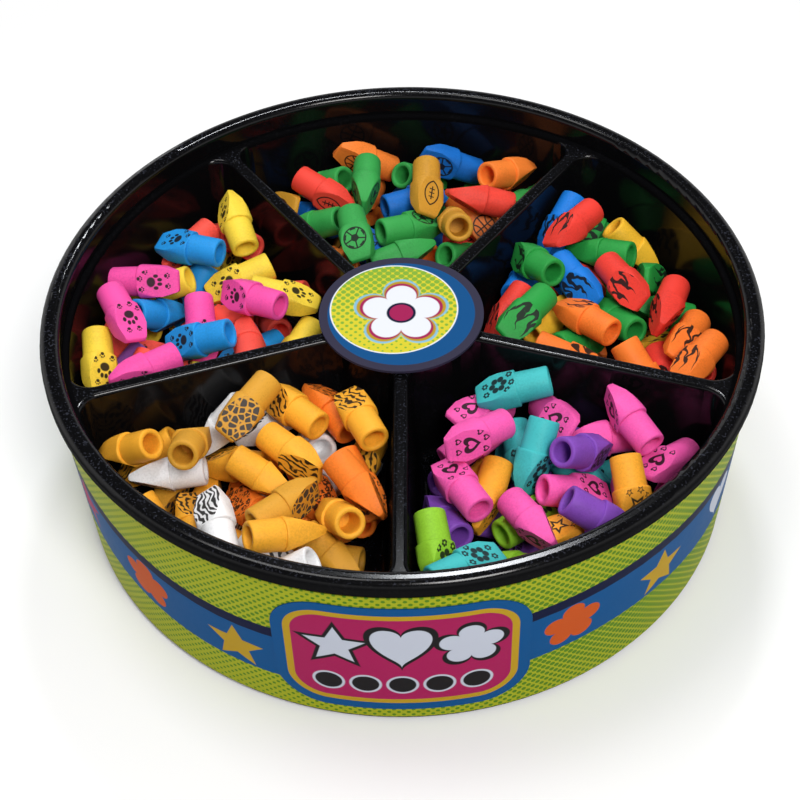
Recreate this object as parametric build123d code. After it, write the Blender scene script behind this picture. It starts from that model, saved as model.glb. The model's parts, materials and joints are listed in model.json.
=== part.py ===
"""Counter display of pencil eraser toppers: a printed drum, a five-pocket tray and the toppers heaped in it.

Millimetres, +Z up, origin at the centre of the base. The front of the drum, with its badge, faces -Y.
"""

from build123d import *
import math
import os
import random

import numpy as np

# Drum
RIM_DIAMETER = 254.0
OVERALL_HEIGHT = 82.0
BASE_INSET = 7.0
DRUM_WALL = 1.8
DRUM_FLOOR = 2.0
FOOT_WIDTH = 6.0
FOOT_HEIGHT = 1.5
FOOT_INSET = 3.5
BEAD_HEIGHT = 2.5
BEAD_PROUD = 0.7
LIP_CLEARANCE = 0.2

# Tray
TRAY_SHEET = 1.4
RIM_WIDTH = 7.0
RIM_SKIRT = 5.5
RIM_INNER_ROUND = 2.5
RIM_OUTER_ROUND = 3.0
SKIRT_GAP = 1.2
RIDGE_DROP = 9.0
RIDGE_WIDTH = 5.0
RIDGE_ROUND = 1.5
LEDGE_WIDTH = 1.8
POCKET_DEPTH = 43.0
POCKET_DRAFT = 4.0
POCKET_CORNER = 8.0
POCKET_FLOOR_ROUND = 4.0
HUB_RADIUS = 24.0
HUB_BOSS_RADIUS = 21.0
HUB_BOSS_HEIGHT = 1.5

# Labels
LABEL_SHEET = 0.3
GLUE_LINE = 0.1
LABEL_MARGIN = 1.0
LABEL_SEAM = 0.8
BADGE_WIDTH = 84.0
BADGE_HEIGHT = 60.0
BADGE_CORNER = 17.0
HUB_LABEL_DIAMETER = 58.6
HUB_LABEL_SHEET = 1.0

# Eraser topper
TOPPER_LENGTH = 26.5
SLEEVE_LENGTH = 11.5
MOUTH_DIAMETER = 10.8
SLEEVE_DIAMETER = 11.3
MOUTH_BEVEL = 0.6
BORE_DIAMETER = 7.0
BORE_DEPTH = 12.0
HEAD_WIDTH = 12.7
HEAD_THICKNESS = 11.8
HEAD_CORNER = 5.0
CHEEK_SHARE = 0.62
CHEEK_WIDTH = 11.2
TIP_WIDTH = 7.6
TIP_THICKNESS = 1.9

# Heaps
HEAP_GAP = 0.6
HEAP_BELOW_RIM = 5.0
STEEPEST_LEAN = 50.0
SETTLE_STEPS = 70
DROP_TRIES = 36
LOOSE_PER_POCKET = 2
HEAP_SEED = 11

POCKETS = {
    "front_left": (234, {"gold": 14, "white": 11, "orange": 10, "tan": 7}),
    "front_right": (306, {"pink": 13, "purple": 10, "teal": 8, "amber": 6, "lime": 5}),
    "right": (18, {"green": 12, "red": 10, "orange": 9, "blue": 7, "yellow": 4}),
    "back": (90, {"green": 11, "orange": 10, "red": 9, "blue": 7, "mustard": 5}),
    "left": (162, {"red": 12, "yellow": 11, "blue": 8, "pink": 6, "purple": 5}),
}
LOOSE_COLOURS = {
    "front_left": ("tan", "gold"),
    "front_right": ("pink", "teal"),
    "right": ("red", "green"),
    "back": ("green", "green"),
    "left": ("pink", "pink"),
}

# Worked out from the sizes above
RIM_RADIUS = RIM_DIAMETER / 2
BASE_DIAMETER = RIM_DIAMETER - 2 * BASE_INSET
RIM_INNER = RIM_RADIUS - RIM_WIDTH
FLANGE_UNDER = OVERALL_HEIGHT - TRAY_SHEET
LIP_OUTER = RIM_RADIUS - TRAY_SHEET - SKIRT_GAP
SKIRT_BOTTOM = OVERALL_HEIGHT - RIM_SKIRT
RIDGE_TOP = OVERALL_HEIGHT - RIDGE_DROP
POCKET_FLOOR = RIDGE_TOP - POCKET_DEPTH
POCKET_RADIUS = RIM_INNER - LEDGE_WIDTH
DRAFT_INSET = POCKET_DEPTH * math.tan(math.radians(POCKET_DRAFT))
LABEL_TOP = SKIRT_BOTTOM - BEAD_HEIGHT
HALF_PITCH = 180 / len(POCKETS)


def drum_radius(z):
    """Outside of the drum's tapered wall at height z."""
    return BASE_DIAMETER / 2 + (LIP_OUTER - BASE_DIAMETER / 2) * z / LABEL_TOP


def turned(points):
    """Solid of revolution about Z of a closed outline of (radius, height) points."""
    return revolve(Plane.XZ * make_face(Polyline(*points, close=True)), Axis.Z)


def drum():
    """Tapered tub with a standing foot ring, a bead under the rim and a lip that carries the tray."""
    low = drum_radius(0)
    floor_top = FOOT_HEIGHT + DRUM_FLOOR
    foot_outer = low - FOOT_INSET
    bead = LIP_OUTER + BEAD_PROUD
    bevel = max(RIM_OUTER_ROUND - TRAY_SHEET - SKIRT_GAP, 0) + LIP_CLEARANCE
    return turned(
        [
            (0, FOOT_HEIGHT),
            (foot_outer - FOOT_WIDTH, FOOT_HEIGHT),
            (foot_outer - FOOT_WIDTH, 0),
            (foot_outer, 0),
            (drum_radius(LABEL_MARGIN), LABEL_MARGIN),
            (drum_radius(LABEL_TOP), LABEL_TOP),
            (bead, LABEL_TOP + BEAD_PROUD),
            (bead, SKIRT_BOTTOM - BEAD_PROUD),
            (LIP_OUTER, SKIRT_BOTTOM),
            (LIP_OUTER, FLANGE_UNDER - bevel),
            (LIP_OUTER - bevel, FLANGE_UNDER),
            (LIP_OUTER - DRUM_WALL, FLANGE_UNDER),
            (drum_radius(LABEL_TOP) - DRUM_WALL, LABEL_TOP),
            (drum_radius(floor_top) - DRUM_WALL, floor_top),
            (0, floor_top),
        ]
    )


def wall_sheet(low, high, gap, sheet):
    """Outline of a sheet that lies on the drum's wall between two heights, off it by a gap."""
    return [
        (drum_radius(low) + gap, low),
        (drum_radius(low) + gap + sheet, low),
        (drum_radius(high) + gap + sheet, high),
        (drum_radius(high) + gap, high),
    ]


def wrap_label():
    """Printed label round the drum, with its butt seam at the back."""
    top = LABEL_TOP - LABEL_MARGIN
    sleeve = turned(wall_sheet(2 * LABEL_MARGIN, top, GLUE_LINE, LABEL_SHEET))
    seam = Pos(0, RIM_RADIUS, OVERALL_HEIGHT / 2) * Box(LABEL_SEAM, RIM_RADIUS, OVERALL_HEIGHT)
    return sleeve - seam


def front_badge():
    """Die-cut plate stuck on the label at the front."""
    middle = (LABEL_TOP + LABEL_MARGIN) / 2
    low = middle - BADGE_HEIGHT / 2
    skin = turned(wall_sheet(low, low + BADGE_HEIGHT, 2 * GLUE_LINE + LABEL_SHEET, LABEL_SHEET))
    outline = Plane.XZ.offset(0) * Pos(0, middle) * RectangleRounded(BADGE_WIDTH, BADGE_HEIGHT, BADGE_CORNER)
    return skin & extrude(outline, RIM_RADIUS)


def sector(inner, outer, half_ridge, corner):
    """Pocket outline about +X: a ring's sector, set in from both divider lines, with round corners."""
    spread = math.radians(HALF_PITCH)
    apex = half_ridge / math.sin(spread)
    reach = 2 * outer
    far = (apex + reach * math.cos(spread), reach * math.sin(spread))
    wedge = make_face(Polyline((apex, 0), far, (far[0], -far[1]), close=True))
    shape = (Circle(outer) - Circle(inner)) & wedge
    return fillet(shape.vertices(), corner)


def pocket(grow, top, bottom):
    """Drafted pocket between two heights, grown outwards by a wall."""
    inset = (RIDGE_TOP - top) * math.tan(math.radians(POCKET_DRAFT)) - grow
    mouth = sector(HUB_RADIUS + inset, POCKET_RADIUS - inset, RIDGE_WIDTH / 2 + inset, POCKET_CORNER - inset)
    return extrude(Pos(0, 0, top) * mouth, top - bottom, dir=(0, 0, -1), taper=POCKET_DRAFT)


def round_bottom(solid, radius):
    """Rounds the lowest ring of edges."""
    return fillet(solid.edges().group_by(Axis.Z)[0], radius)


def tray_rim():
    """Hooked rim and the ring wall under it, as one section of the formed sheet."""
    outline = make_face(
        Polyline(
            (RIM_INNER, RIDGE_TOP - TRAY_SHEET),
            (RIM_INNER, OVERALL_HEIGHT),
            (RIM_RADIUS, OVERALL_HEIGHT),
            (RIM_RADIUS, SKIRT_BOTTOM),
            (RIM_RADIUS - TRAY_SHEET, SKIRT_BOTTOM),
            (RIM_RADIUS - TRAY_SHEET, FLANGE_UNDER),
            (RIM_INNER + TRAY_SHEET, FLANGE_UNDER),
            (RIM_INNER + TRAY_SHEET, RIDGE_TOP - TRAY_SHEET),
            close=True,
        )
    )
    for x, y, radius in (
        (RIM_INNER, OVERALL_HEIGHT, RIM_INNER_ROUND),
        (RIM_RADIUS, OVERALL_HEIGHT, RIM_OUTER_ROUND),
        (RIM_RADIUS - TRAY_SHEET, FLANGE_UNDER, RIM_OUTER_ROUND - TRAY_SHEET),
        (RIM_INNER + TRAY_SHEET, FLANGE_UNDER, RIM_INNER_ROUND - TRAY_SHEET),
    ):
        corner = outline.vertices().sort_by_distance((x, y, 0))[0]
        outline = fillet(corner, radius)
    return revolve(Plane.XZ * outline, Axis.Z)


def tray():
    """Formed tray: a hooked rim, a web with rounded ridges and a hub, and drafted pockets that hang from it."""
    web_low = RIDGE_TOP - TRAY_SHEET
    web = Pos(0, 0, web_low) * extrude(Circle(RIM_INNER + TRAY_SHEET), TRAY_SHEET)
    boss = Pos(0, 0, RIDGE_TOP) * extrude(Circle(HUB_BOSS_RADIUS), HUB_BOSS_HEIGHT)
    lobe = round_bottom(
        pocket(TRAY_SHEET, RIDGE_TOP, POCKET_FLOOR - TRAY_SHEET), POCKET_FLOOR_ROUND + TRAY_SHEET
    )
    hollow = round_bottom(pocket(0, RIDGE_TOP, POCKET_FLOOR), POCKET_FLOOR_ROUND)
    places = [Rot(0, 0, angle) for angle, stock in POCKETS.values()]
    body = tray_rim() + web + [place * lobe for place in places]
    body -= [place * hollow for place in places]
    mouths = body.faces().filter_by(Plane.XY).filter_by(lambda face: abs(face.center().Z - RIDGE_TOP) < TRAY_SHEET / 2)
    loops = [wire for face in mouths for wire in face.inner_wires()]
    body = fillet([edge for wire in loops for edge in wire.edges()], RIDGE_ROUND)
    return body + boss


def hub_label():
    """Stiff printed disc stuck on the hub, over the inner ends of the ridges."""
    return Pos(0, 0, RIDGE_TOP + HUB_BOSS_HEIGHT) * extrude(Circle(HUB_LABEL_DIAMETER / 2), HUB_LABEL_SHEET)


def head_size(share):
    """Width and thickness of the chisel head at a share of its length, from shoulder to tip."""
    thickness = HEAD_THICKNESS + (TIP_THICKNESS - HEAD_THICKNESS) * share
    if share <= CHEEK_SHARE:
        return HEAD_WIDTH + (CHEEK_WIDTH - HEAD_WIDTH) * share / CHEEK_SHARE, thickness
    blade = (share - CHEEK_SHARE) / (1 - CHEEK_SHARE)
    return CHEEK_WIDTH + (TIP_WIDTH - CHEEK_WIDTH) * blade, thickness


def mirrored(half):
    """Face of an outline that is given by its right-hand half, as (offset, height) points."""
    return make_face(Polyline(*half, *[(-offset, height) for offset, height in reversed(half)], close=True))


def topper():
    """One moulded cap: a round sleeve with a blind bore for the pencil, and a rounded square head cut to a chisel."""
    lip = MOUTH_DIAMETER / 2
    sleeve = turned(
        [
            (0, 0),
            (lip - MOUTH_BEVEL, 0),
            (lip, MOUTH_BEVEL),
            (SLEEVE_DIAMETER / 2, SLEEVE_LENGTH),
            (0, SLEEVE_LENGTH),
        ]
    )
    head_length = TOPPER_LENGTH - SLEEVE_LENGTH
    block = extrude(RectangleRounded(HEAD_WIDTH, HEAD_THICKNESS, HEAD_CORNER), head_length)
    face = mirrored([(head_size(share)[0] / 2, head_length * share) for share in (0, CHEEK_SHARE, 1)])
    side = mirrored([(head_size(share)[1] / 2, head_length * share) for share in (0, 1)])
    head = block & extrude(Plane.XZ * face, HEAD_THICKNESS, both=True)
    head = head & extrude(Plane.YZ * side, HEAD_WIDTH, both=True)
    bore = Pos(0, 0, BORE_DEPTH / 2) * Cylinder(BORE_DIAMETER / 2, BORE_DEPTH)
    return sleeve + Pos(0, 0, SLEEVE_LENGTH) * head - bore


def head_middle(share):
    """Balls (x, y, z, radius) as thick as the head, in a row across it at a share of its length."""
    width, thickness = head_size(share)
    radius = thickness / 2
    height = SLEEVE_LENGTH + (TOPPER_LENGTH - SLEEVE_LENGTH) * share
    spare = max(width / 2 - radius, 0)
    across = 1 + 2 * math.ceil(spare / radius)
    offsets = [spare * (2 * column / (across - 1) - 1) for column in range(across)] if across > 1 else [0]
    return [(x, 0, min(height, TOPPER_LENGTH - radius / 2), radius) for x in offsets]


def head_corners(share, largest):
    """Balls (x, y, z, radius) in the four corners of the head at a share of its length."""
    width, thickness = head_size(share)
    radius = min(largest, thickness / 2)
    slack = HEAD_CORNER - radius
    y = min(thickness / 2 - radius, HEAD_THICKNESS / 2 - HEAD_CORNER + slack * math.sqrt(0.5))
    past = max(y - HEAD_THICKNESS / 2 + HEAD_CORNER, 0)
    x = min(width / 2 - radius, HEAD_WIDTH / 2 - HEAD_CORNER + math.sqrt(slack**2 - past**2))
    height = SLEEVE_LENGTH + (TOPPER_LENGTH - SLEEVE_LENGTH) * share
    z = min(max(height, SLEEVE_LENGTH + radius / 2), TOPPER_LENGTH - radius / 2)
    return [(a * x, b * y, z, radius) for a in (-1, 1) for b in (-1, 1)]


def feelers():
    """Balls (x, y, z, radius) that fill a topper's outside, measured from its mid-length."""
    balls = []
    steps = 5
    for step in range(steps):
        z = (step + 1) * SLEEVE_LENGTH / (steps + 0.5)
        balls.append((0, 0, z, SLEEVE_DIAMETER / 2))
    rows = 13
    for row in range(rows):
        share = row / (rows - 1)
        balls += head_corners(share, MOUTH_BEVEL)
        if row % 2 == 0:
            balls += head_middle(share) + head_corners(share, HEAD_CORNER / 2)
    table = np.array(balls)
    table[:, 2] -= TOPPER_LENGTH / 2
    return table


def directions(yaw, pitch, roll):
    """Unit vectors along a topper's width, thickness and length."""
    long = np.array([math.cos(pitch) * math.cos(yaw), math.cos(pitch) * math.sin(yaw), math.sin(pitch)])
    level = np.array([-math.sin(yaw), math.cos(yaw), 0.0])
    wide = math.cos(roll) * level + math.sin(roll) * np.cross(long, level)
    return np.stack([wide, np.cross(long, wide), long])


def in_pocket(balls):
    """Whether balls clear the drafted walls, rounded corners and rounded floor edge of the pocket about +X."""
    if np.max(balls[:, 2] + balls[:, 3]) > OVERALL_HEIGHT - HEAP_BELOW_RIM:
        return False
    spread = math.radians(HALF_PITCH)
    room = balls[:, 3] + HEAP_GAP
    inset = (RIDGE_TOP - balls[:, 2]).clip(0, POCKET_DEPTH) * math.tan(math.radians(POCKET_DRAFT))
    out = np.hypot(balls[:, 0], balls[:, 1])
    above = balls[:, 2] - POCKET_FLOOR
    outer = POCKET_RADIUS - inset - out
    inner = out - np.maximum(HUB_RADIUS + inset, HUB_LABEL_DIAMETER / 2)
    side = balls[:, 0] * math.sin(spread) - np.abs(balls[:, 1]) * math.cos(spread) - RIDGE_WIDTH / 2 - inset
    for one, other, radius in (
        (outer, above, POCKET_FLOOR_ROUND),
        (inner, above, POCKET_FLOOR_ROUND),
        (side, above, POCKET_FLOOR_ROUND),
        (outer, side, POCKET_CORNER),
        (inner, side, POCKET_CORNER),
    ):
        depth = np.hypot((radius - one).clip(0), (radius - other).clip(0))
        if np.any(one < room) or np.any(other < room - 0.001) or np.any(depth > (radius - room).clip(0.001) + 0.001):
            return False
    return True


def drop(balls, heap):
    """Height that balls at height 0 are raised to, to lie on the pocket's floor or on the heap."""
    lift = np.max(POCKET_FLOOR + HEAP_GAP + balls[:, 3] - balls[:, 2])
    near = heap[np.hypot(heap[:, 0] - balls[:, 0].mean(), heap[:, 1] - balls[:, 1].mean()) < TOPPER_LENGTH]
    if len(near):
        apart = (balls[:, None, 0] - near[None, :, 0]) ** 2 + (balls[:, None, 1] - near[None, :, 1]) ** 2
        reach = (balls[:, None, 3] + near[None, :, 3] + HEAP_GAP) ** 2 - apart
        own, other = np.nonzero(reach > 0)
        tall = np.sqrt(reach[own, other]) + near[other, 2] - balls[own, 2]
        lift = max(lift, np.max(tall, initial=lift))
    return lift


def rest(shape, move, heap):
    """Height and balls of a topper that lies at a place (x, y, yaw, pitch, roll), or None if it can't."""
    if abs(move[3]) > math.radians(STEEPEST_LEAN):
        return None
    balls = shape.copy()
    balls[:, :3] = shape[:, :3] @ directions(*move[2:])
    balls[:, :2] += move[:2]
    height = drop(balls, heap)
    balls[:, 2] += height
    return (height, balls, move) if in_pocket(balls) else None


def settle(shape, heap, chance):
    """Drops one topper at random and lets it slide and roll to the lowest rest nearby; None if the pocket is full."""
    best = None
    for attempt in range(5 * DROP_TRIES):
        if best and attempt >= DROP_TRIES:
            break
        x = chance.uniform(HUB_RADIUS, POCKET_RADIUS)
        y = chance.uniform(-1, 1) * x * math.tan(math.radians(HALF_PITCH))
        move = np.array([x, y, chance.uniform(0, 6.28), chance.gauss(0, 0.5), chance.uniform(0, 6.28)])
        trial = rest(shape, move, heap)
        if trial and (best is None or trial[0] < best[0]):
            best = trial
    if best is None:
        return None
    for step in range(SETTLE_STEPS):
        shake = 1 - step / SETTLE_STEPS
        slide = SLEEVE_DIAMETER / 2 * shake
        turn = 0.5 * shake
        spread = (slide, slide, turn, turn, turn)
        trial = rest(shape, best[2] + np.array([chance.gauss(0, size) for size in spread]), heap)
        if trial and trial[0] < best[0]:
            best = trial
    height, balls, move = best
    return balls, (move[0], move[1], height), directions(*move[2:])


def free_to_lift(index, heap):
    """Whether nothing lies over a topper of the heap on its way straight up."""
    own = heap[index][0]
    for other, (balls, place, axes) in enumerate(heap):
        if other != index:
            apart = (own[:, None, 0] - balls[None, :, 0]) ** 2 + (own[:, None, 1] - balls[None, :, 1]) ** 2
            over = apart < (own[:, None, 3] + balls[None, :, 3] + HEAP_GAP) ** 2
            if np.any(over & (balls[None, :, 2] > own[:, None, 2])):
                return False
    return True


def heaps():
    """Every topper as pocket, colour, number if it is loose, and the place of its mouth, with Z towards its tip."""
    shape = feelers()
    chance = random.Random(HEAP_SEED)
    found = []
    for name, (angle, stock) in POCKETS.items():
        colours = [colour for colour, count in stock.items() for _ in range(count)]
        chance.shuffle(colours)
        heap = []
        for _ in colours:
            lying = np.concatenate([balls for balls, place, axes in heap]) if heap else np.empty((0, 4))
            topple = settle(shape, lying, chance)
            if topple:
                heap.append(topple)
        free = [i for i in range(len(heap)) if free_to_lift(i, heap) and heap[i][2][2][2] < 0.3]
        free.sort(key=lambda i: -heap[i][1][2])
        loose = {}
        for number, i in enumerate(free[:LOOSE_PER_POCKET], 1):
            colour = LOOSE_COLOURS[name][(number - 1) % len(LOOSE_COLOURS[name])]
            other = next(k for k in range(len(colours)) if colours[k] == colour and k not in loose)
            colours[i], colours[other] = colours[other], colours[i]
            loose[i] = number
        for i, (balls, middle, axes) in enumerate(heap):
            mouth = np.array(middle) - axes[2] * TOPPER_LENGTH / 2
            place = Rot(0, 0, angle) * Plane(tuple(mouth), tuple(axes[0]), tuple(axes[2])).location
            found.append((name, colours[i], loose.get(i, 0), place))
    return found


def topper_nodes():
    """Toppers by node: those of one colour in one pocket share a node, and each loose one has its own."""
    cap = topper()
    nodes = {}
    for pocket_name, colour, number, place in heaps():
        node = f"{pocket_name}_loose_{colour}_topper_{number}" if number else f"{pocket_name}_{colour}_toppers"
        nodes.setdefault(node, []).append(place * cap)
    return nodes


def main():
    os.makedirs("parts", exist_ok=True)
    nodes = {
        "drum": [drum()],
        "wrap_label": [wrap_label()],
        "front_badge": [front_badge()],
        "tray": [tray()],
        "hub_label": [hub_label()],
        **topper_nodes(),
    }
    for name, solids in nodes.items():
        export_step(Compound(children=solids) if len(solids) > 1 else solids[0], f"parts/{name}.step")


main()
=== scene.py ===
"""Counter tub of pencil eraser toppers: printed drum, black pocket tray and heaps of printed rubber caps."""

import json
import math
import random

import bpy
import numpy as np
from mathutils import Matrix, Vector


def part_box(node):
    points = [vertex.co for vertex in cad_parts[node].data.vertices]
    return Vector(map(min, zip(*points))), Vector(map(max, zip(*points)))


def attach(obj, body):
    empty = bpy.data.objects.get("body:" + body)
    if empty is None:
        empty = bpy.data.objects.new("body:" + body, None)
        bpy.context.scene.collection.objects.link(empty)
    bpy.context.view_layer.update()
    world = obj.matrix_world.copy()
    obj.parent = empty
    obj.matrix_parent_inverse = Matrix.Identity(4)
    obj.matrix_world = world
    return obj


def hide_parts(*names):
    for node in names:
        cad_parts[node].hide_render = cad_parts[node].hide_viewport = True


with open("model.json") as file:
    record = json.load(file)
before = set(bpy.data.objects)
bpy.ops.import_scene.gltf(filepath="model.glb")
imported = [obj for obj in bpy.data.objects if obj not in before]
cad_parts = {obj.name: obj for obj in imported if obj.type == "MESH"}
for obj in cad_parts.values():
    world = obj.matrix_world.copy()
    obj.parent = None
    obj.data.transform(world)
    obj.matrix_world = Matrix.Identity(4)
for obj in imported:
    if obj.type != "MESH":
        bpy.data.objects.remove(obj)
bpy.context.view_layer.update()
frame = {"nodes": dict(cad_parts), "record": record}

MM = 0.001

# Camera, fitted to the rim, hub and base of the tub
FOCAL_PIXELS = 1738
IMAGE_PIXELS = 800
CAMERA_REACH = 0.6177
CAMERA_ELEVATION = 43.4
CAMERA_AZIMUTH = 1.5
CAMERA_ROLL = -1.73
RIM_CENTRE = Vector((0, 0, 0.076))
RIM_CENTRE_PIXEL = (401.2, 311.7)
SENSOR_WIDTH = 36
CLIP_START = 0.01

# Topper sizes in millimetres
TOPPER_LENGTH = 26.5
SHOULDER = 11.5
HEAD_WIDTH = 12.7
HEAD_THICKNESS = 11.8
HEAD_CORNER = 5.0
CHEEK_SHARE = 0.62
CHEEK_WIDTH = 11.2
TIP_WIDTH = 7.6
TIP_THICKNESS = 1.9
SOFT_EDGE = 0.35
ARC_POINTS = 5
RING_POINTS = 4 * (ARC_POINTS + 2)
SLEEVE_RINGS = (
    (0.6, 12.0),
    (3.2, 12.0),
    (3.5, 11.4),
    (3.5, 0.9),
    (3.65, 0.3),
    (4.0, 0.0),
    (4.8, 0.0),
    (5.22, 0.2),
    (5.4, 0.7),
    (5.5, 5.5),
    (5.62, 11.2),
    (5.64, 11.5),
)
HEAD_SHARES = (0.02, 0.05, 0.09, 0.14, 0.2, 0.28, 0.4, 0.62, 0.8, 0.965)
SHOULDER_INSET = 0.25
TIP_INSET = 0.3
SHARP_ANGLE = 50
UNPRINTED = (-50.0, -50.0)

# Seed of the chance by which one topper's print differs from the next
PRINT_SEED = 5

# Prints on the toppers' flat faces, in millimetres from the shoulder
FACE_START = 0.25
FACE_REACH = 20.0
FACE_MIDDLE = 6.4
LARGE_FIGURE = 2.9
SMALL_FIGURE = 1.1
SMALL_PLACES = ((-2.6, 1.9), (1.4, 1.4), (-1.7, 11.2), (2.2, 11.0), (3.9, 3.3))
BALL_SIZE = 4.2
BALL_LINE = 0.28
LINE_SOFT = 0.08
EDGE_SOFT = 0.05

# Rubber: where handling marks leave it grimy and where they rub the ink off
WORN_UNDER = 0.42
RUBBED_OVER = 0.68
FRESH = 1.06
GRIMY = 0.82
INK_STRENGTH = 0.97

# Large printed figures: soft edge as a share of the figure
CRISP = 0.015

# Label round the drum, in millimetres, with counts round it
LABEL_RADIUS = 121.0
LABEL_MIDDLE = 37.5
LABEL_HALF = 35.5
DOTS_ROUND = 230
DOT_LEAST = 0.66
DOT_GROWTH = 0.4
DOT_SWELL = 0.16
FIGURE_GROUPS = 5
WAVES_ROUND = 3.0
WAVE_START = 0.52
WAVE_RISE = 5.0
BAND_HEIGHT = 34.5
BAND_HALF = 11.5
RULE_HEIGHT = 48.5
RULE_HALF = 2.6

# Badge, in millimetres from its middle or in from its edge
BADGE_CORNER = 17.0
BADGE_YELLOW = 6.4
BADGE_BLUE = 4.0
BADGE_FIGURES_UP = 7.0
BADGE_OUTLINE = 2.0
SPOTS_DOWN = 14.5
SPOT_PITCH = 12.2
SPOT_ROW = 30.4
SPOT_RIM = 5.4
SPOT_RADIUS = 4.5

# Hub disc, in millimetres
HUB_BORDER = 26.2
HUB_RING = 22.9
HUB_FIELD = 22.4
HUB_SHIFT = (-2.6, 2.2)
HUB_DOT_PITCH = 3.2
HUB_DOT_START = -30.0
HUB_DOT_GROWTH = 0.018
HUB_DOT_LEAST = 0.2
FLOWER_EYE = 4.2
FLOWER_EYE_RIM = 5.2

# Black plastic: colours, scuffs, and specks that are partly dust and partly painted speckled highlights
DRUM_BLACK = (0.004, 0.004, 0.005)
TRAY_BLACK = (0.003, 0.003, 0.0035)
SCUFFED_UNDER = 0.38
SCUFF_GAIN = 2.2
SPECK_SCALE = 1300.0
SPECKS_OVER = 0.66
SPECKS_UPWARD = 0.75

# Tray's polish: coat weights, and in millimetres where they change
COAT_ROUGHNESS = 0.14
POLISH = 0.5
DULL = 0.06
POLISH_RADIUS = 126.5
LEDGE_RADIUS = 119.0
LEDGE_HEIGHT = 72.3
LEDGE_HALF_WIDTH = 1.2
LEDGE_HALF_HEIGHT = 1.6
CREST_HALF = 4.0
CREST_HALF_HEIGHT = 2.6
CREST_START = -30.0
CREST_WEAR = 0.8

# Studio room: heights are sines of the angle over the floor
WALL_TOP = 0.42
WALL_SOFT = 0.12
CEILING = 0.03

# Floor: its size and drop in metres, and the distance in millimetres round which it fades to white
FLOOR_REACH = 6.0
FLOOR_DROP = 0.0005
FLOOR_FADE = 250.0
FLOOR_SOFT = 115.0
FLOOR_WHITE = (0.93, 0.93, 0.93, 1)

# Light: a soft sky, and softboxes by name with place, aim, width, height, power and colour
WHITE = (1, 1, 1, 1)
SKY_LIGHT = (0.96, 0.98, 1.0, 1)
SKY_STRENGTH = 0.45
SOFTBOXES = {
    "key": ((0.3, -0.8, 1.15), (0, 0, 0.05), 0.4, 0.4, 11.5, (1.0, 0.98, 0.96)),
    "top": ((-0.32, 0.2, 1.45), (0, 0, 0.05), 0.5, 0.5, 5.2, (1.0, 0.99, 0.98)),
    "back": ((0.055, 0.61, 1.04), (0.03, -0.12, 0.08), 0.15, 0.06, 3.0, (0.93, 0.96, 1.0)),
}

# Colours of the caps and the print on each, by node colour
CAPS = {
    "front_left": {
        "gold": ((0.88, 0.40, 0.03), "Tiger stripes", (0.018, 0.010, 0.006)),
        "white": ((0.85, 0.85, 0.86), "Zebra stripes", (0.012, 0.012, 0.012)),
        "orange": ((0.88, 0.20, 0.02), "Leopard spots", (0.030, 0.012, 0.006)),
        "tan": ((0.64, 0.31, 0.03), "Giraffe patches", (0.038, 0.036, 0.036)),
    },
    "front_right": {
        "pink": ((0.87, 0.10, 0.40), "Hearts", (0.015, 0.010, 0.012)),
        "purple": ((0.21, 0.065, 0.43), "Four petals", (0.012, 0.008, 0.016)),
        "teal": ((0.05, 0.45, 0.46), "Daisies", (0.010, 0.020, 0.025)),
        "amber": ((0.90, 0.38, 0.03), "Stars", (0.020, 0.012, 0.008)),
        "lime": ((0.26, 0.54, 0.03), "Daisies", (0.012, 0.020, 0.008)),
    },
    "right": {
        "green": ((0.02, 0.30, 0.05), "Flames", (0.008, 0.012, 0.010)),
        "red": ((0.76, 0.045, 0.03), "Flames", (0.012, 0.010, 0.010)),
        "orange": ((0.88, 0.19, 0.025), "Flames", (0.015, 0.010, 0.008)),
        "blue": ((0.008, 0.18, 0.64), "Flames", (0.008, 0.010, 0.014)),
        "yellow": ((0.86, 0.48, 0.03), "Flames", (0.018, 0.012, 0.008)),
    },
    "back": {
        "green": ((0.035, 0.32, 0.065), "Panelled ball", (0.008, 0.012, 0.010)),
        "orange": ((0.86, 0.21, 0.03), "Seamed ball", (0.015, 0.010, 0.008)),
        "red": ((0.78, 0.055, 0.035), "Laced ball", (0.012, 0.010, 0.010)),
        "blue": ((0.008, 0.14, 0.52), "Panelled ball", (0.008, 0.010, 0.014)),
        "mustard": ((0.56, 0.27, 0.025), "Laced ball", (0.015, 0.010, 0.008)),
    },
    "left": {
        "red": ((0.86, 0.085, 0.06), "Paws", (0.015, 0.010, 0.010)),
        "yellow": ((0.87, 0.62, 0.05), "Paws", (0.018, 0.014, 0.008)),
        "blue": ((0.015, 0.27, 0.68), "Paws", (0.010, 0.012, 0.016)),
        "pink": ((0.86, 0.08, 0.36), "Paws", (0.015, 0.010, 0.012)),
        "purple": ((0.22, 0.075, 0.34), "Paws", (0.010, 0.008, 0.014)),
    },
}

# Inks and papers of the label, badge and hub, and the pale bluish specks on the black plastic, partly dust
# and partly painted speckled highlights
PAPER = (0.46, 0.49, 0.57)
CARD = (0.70, 0.72, 0.76)
BLACK = (0.010, 0.009, 0.010)
NIGHT = (0.030, 0.028, 0.055)
ICE = (0.20, 0.45, 0.62)
LIME = (0.33, 0.36, 0.014)
LEAF = (0.080, 0.19, 0.010)
LEMON = (0.60, 0.53, 0.028)
GRASS = (0.20, 0.37, 0.035)
SUN = (0.42, 0.26, 0.014)
SKY = (0.002, 0.068, 0.215)
NAVY = (0.002, 0.005, 0.032)
MAGENTA = (0.32, 0.011, 0.080)
FLAME = (0.48, 0.075, 0.010)
DUST_AND_GLINTS = (0.026, 0.028, 0.038)


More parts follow.
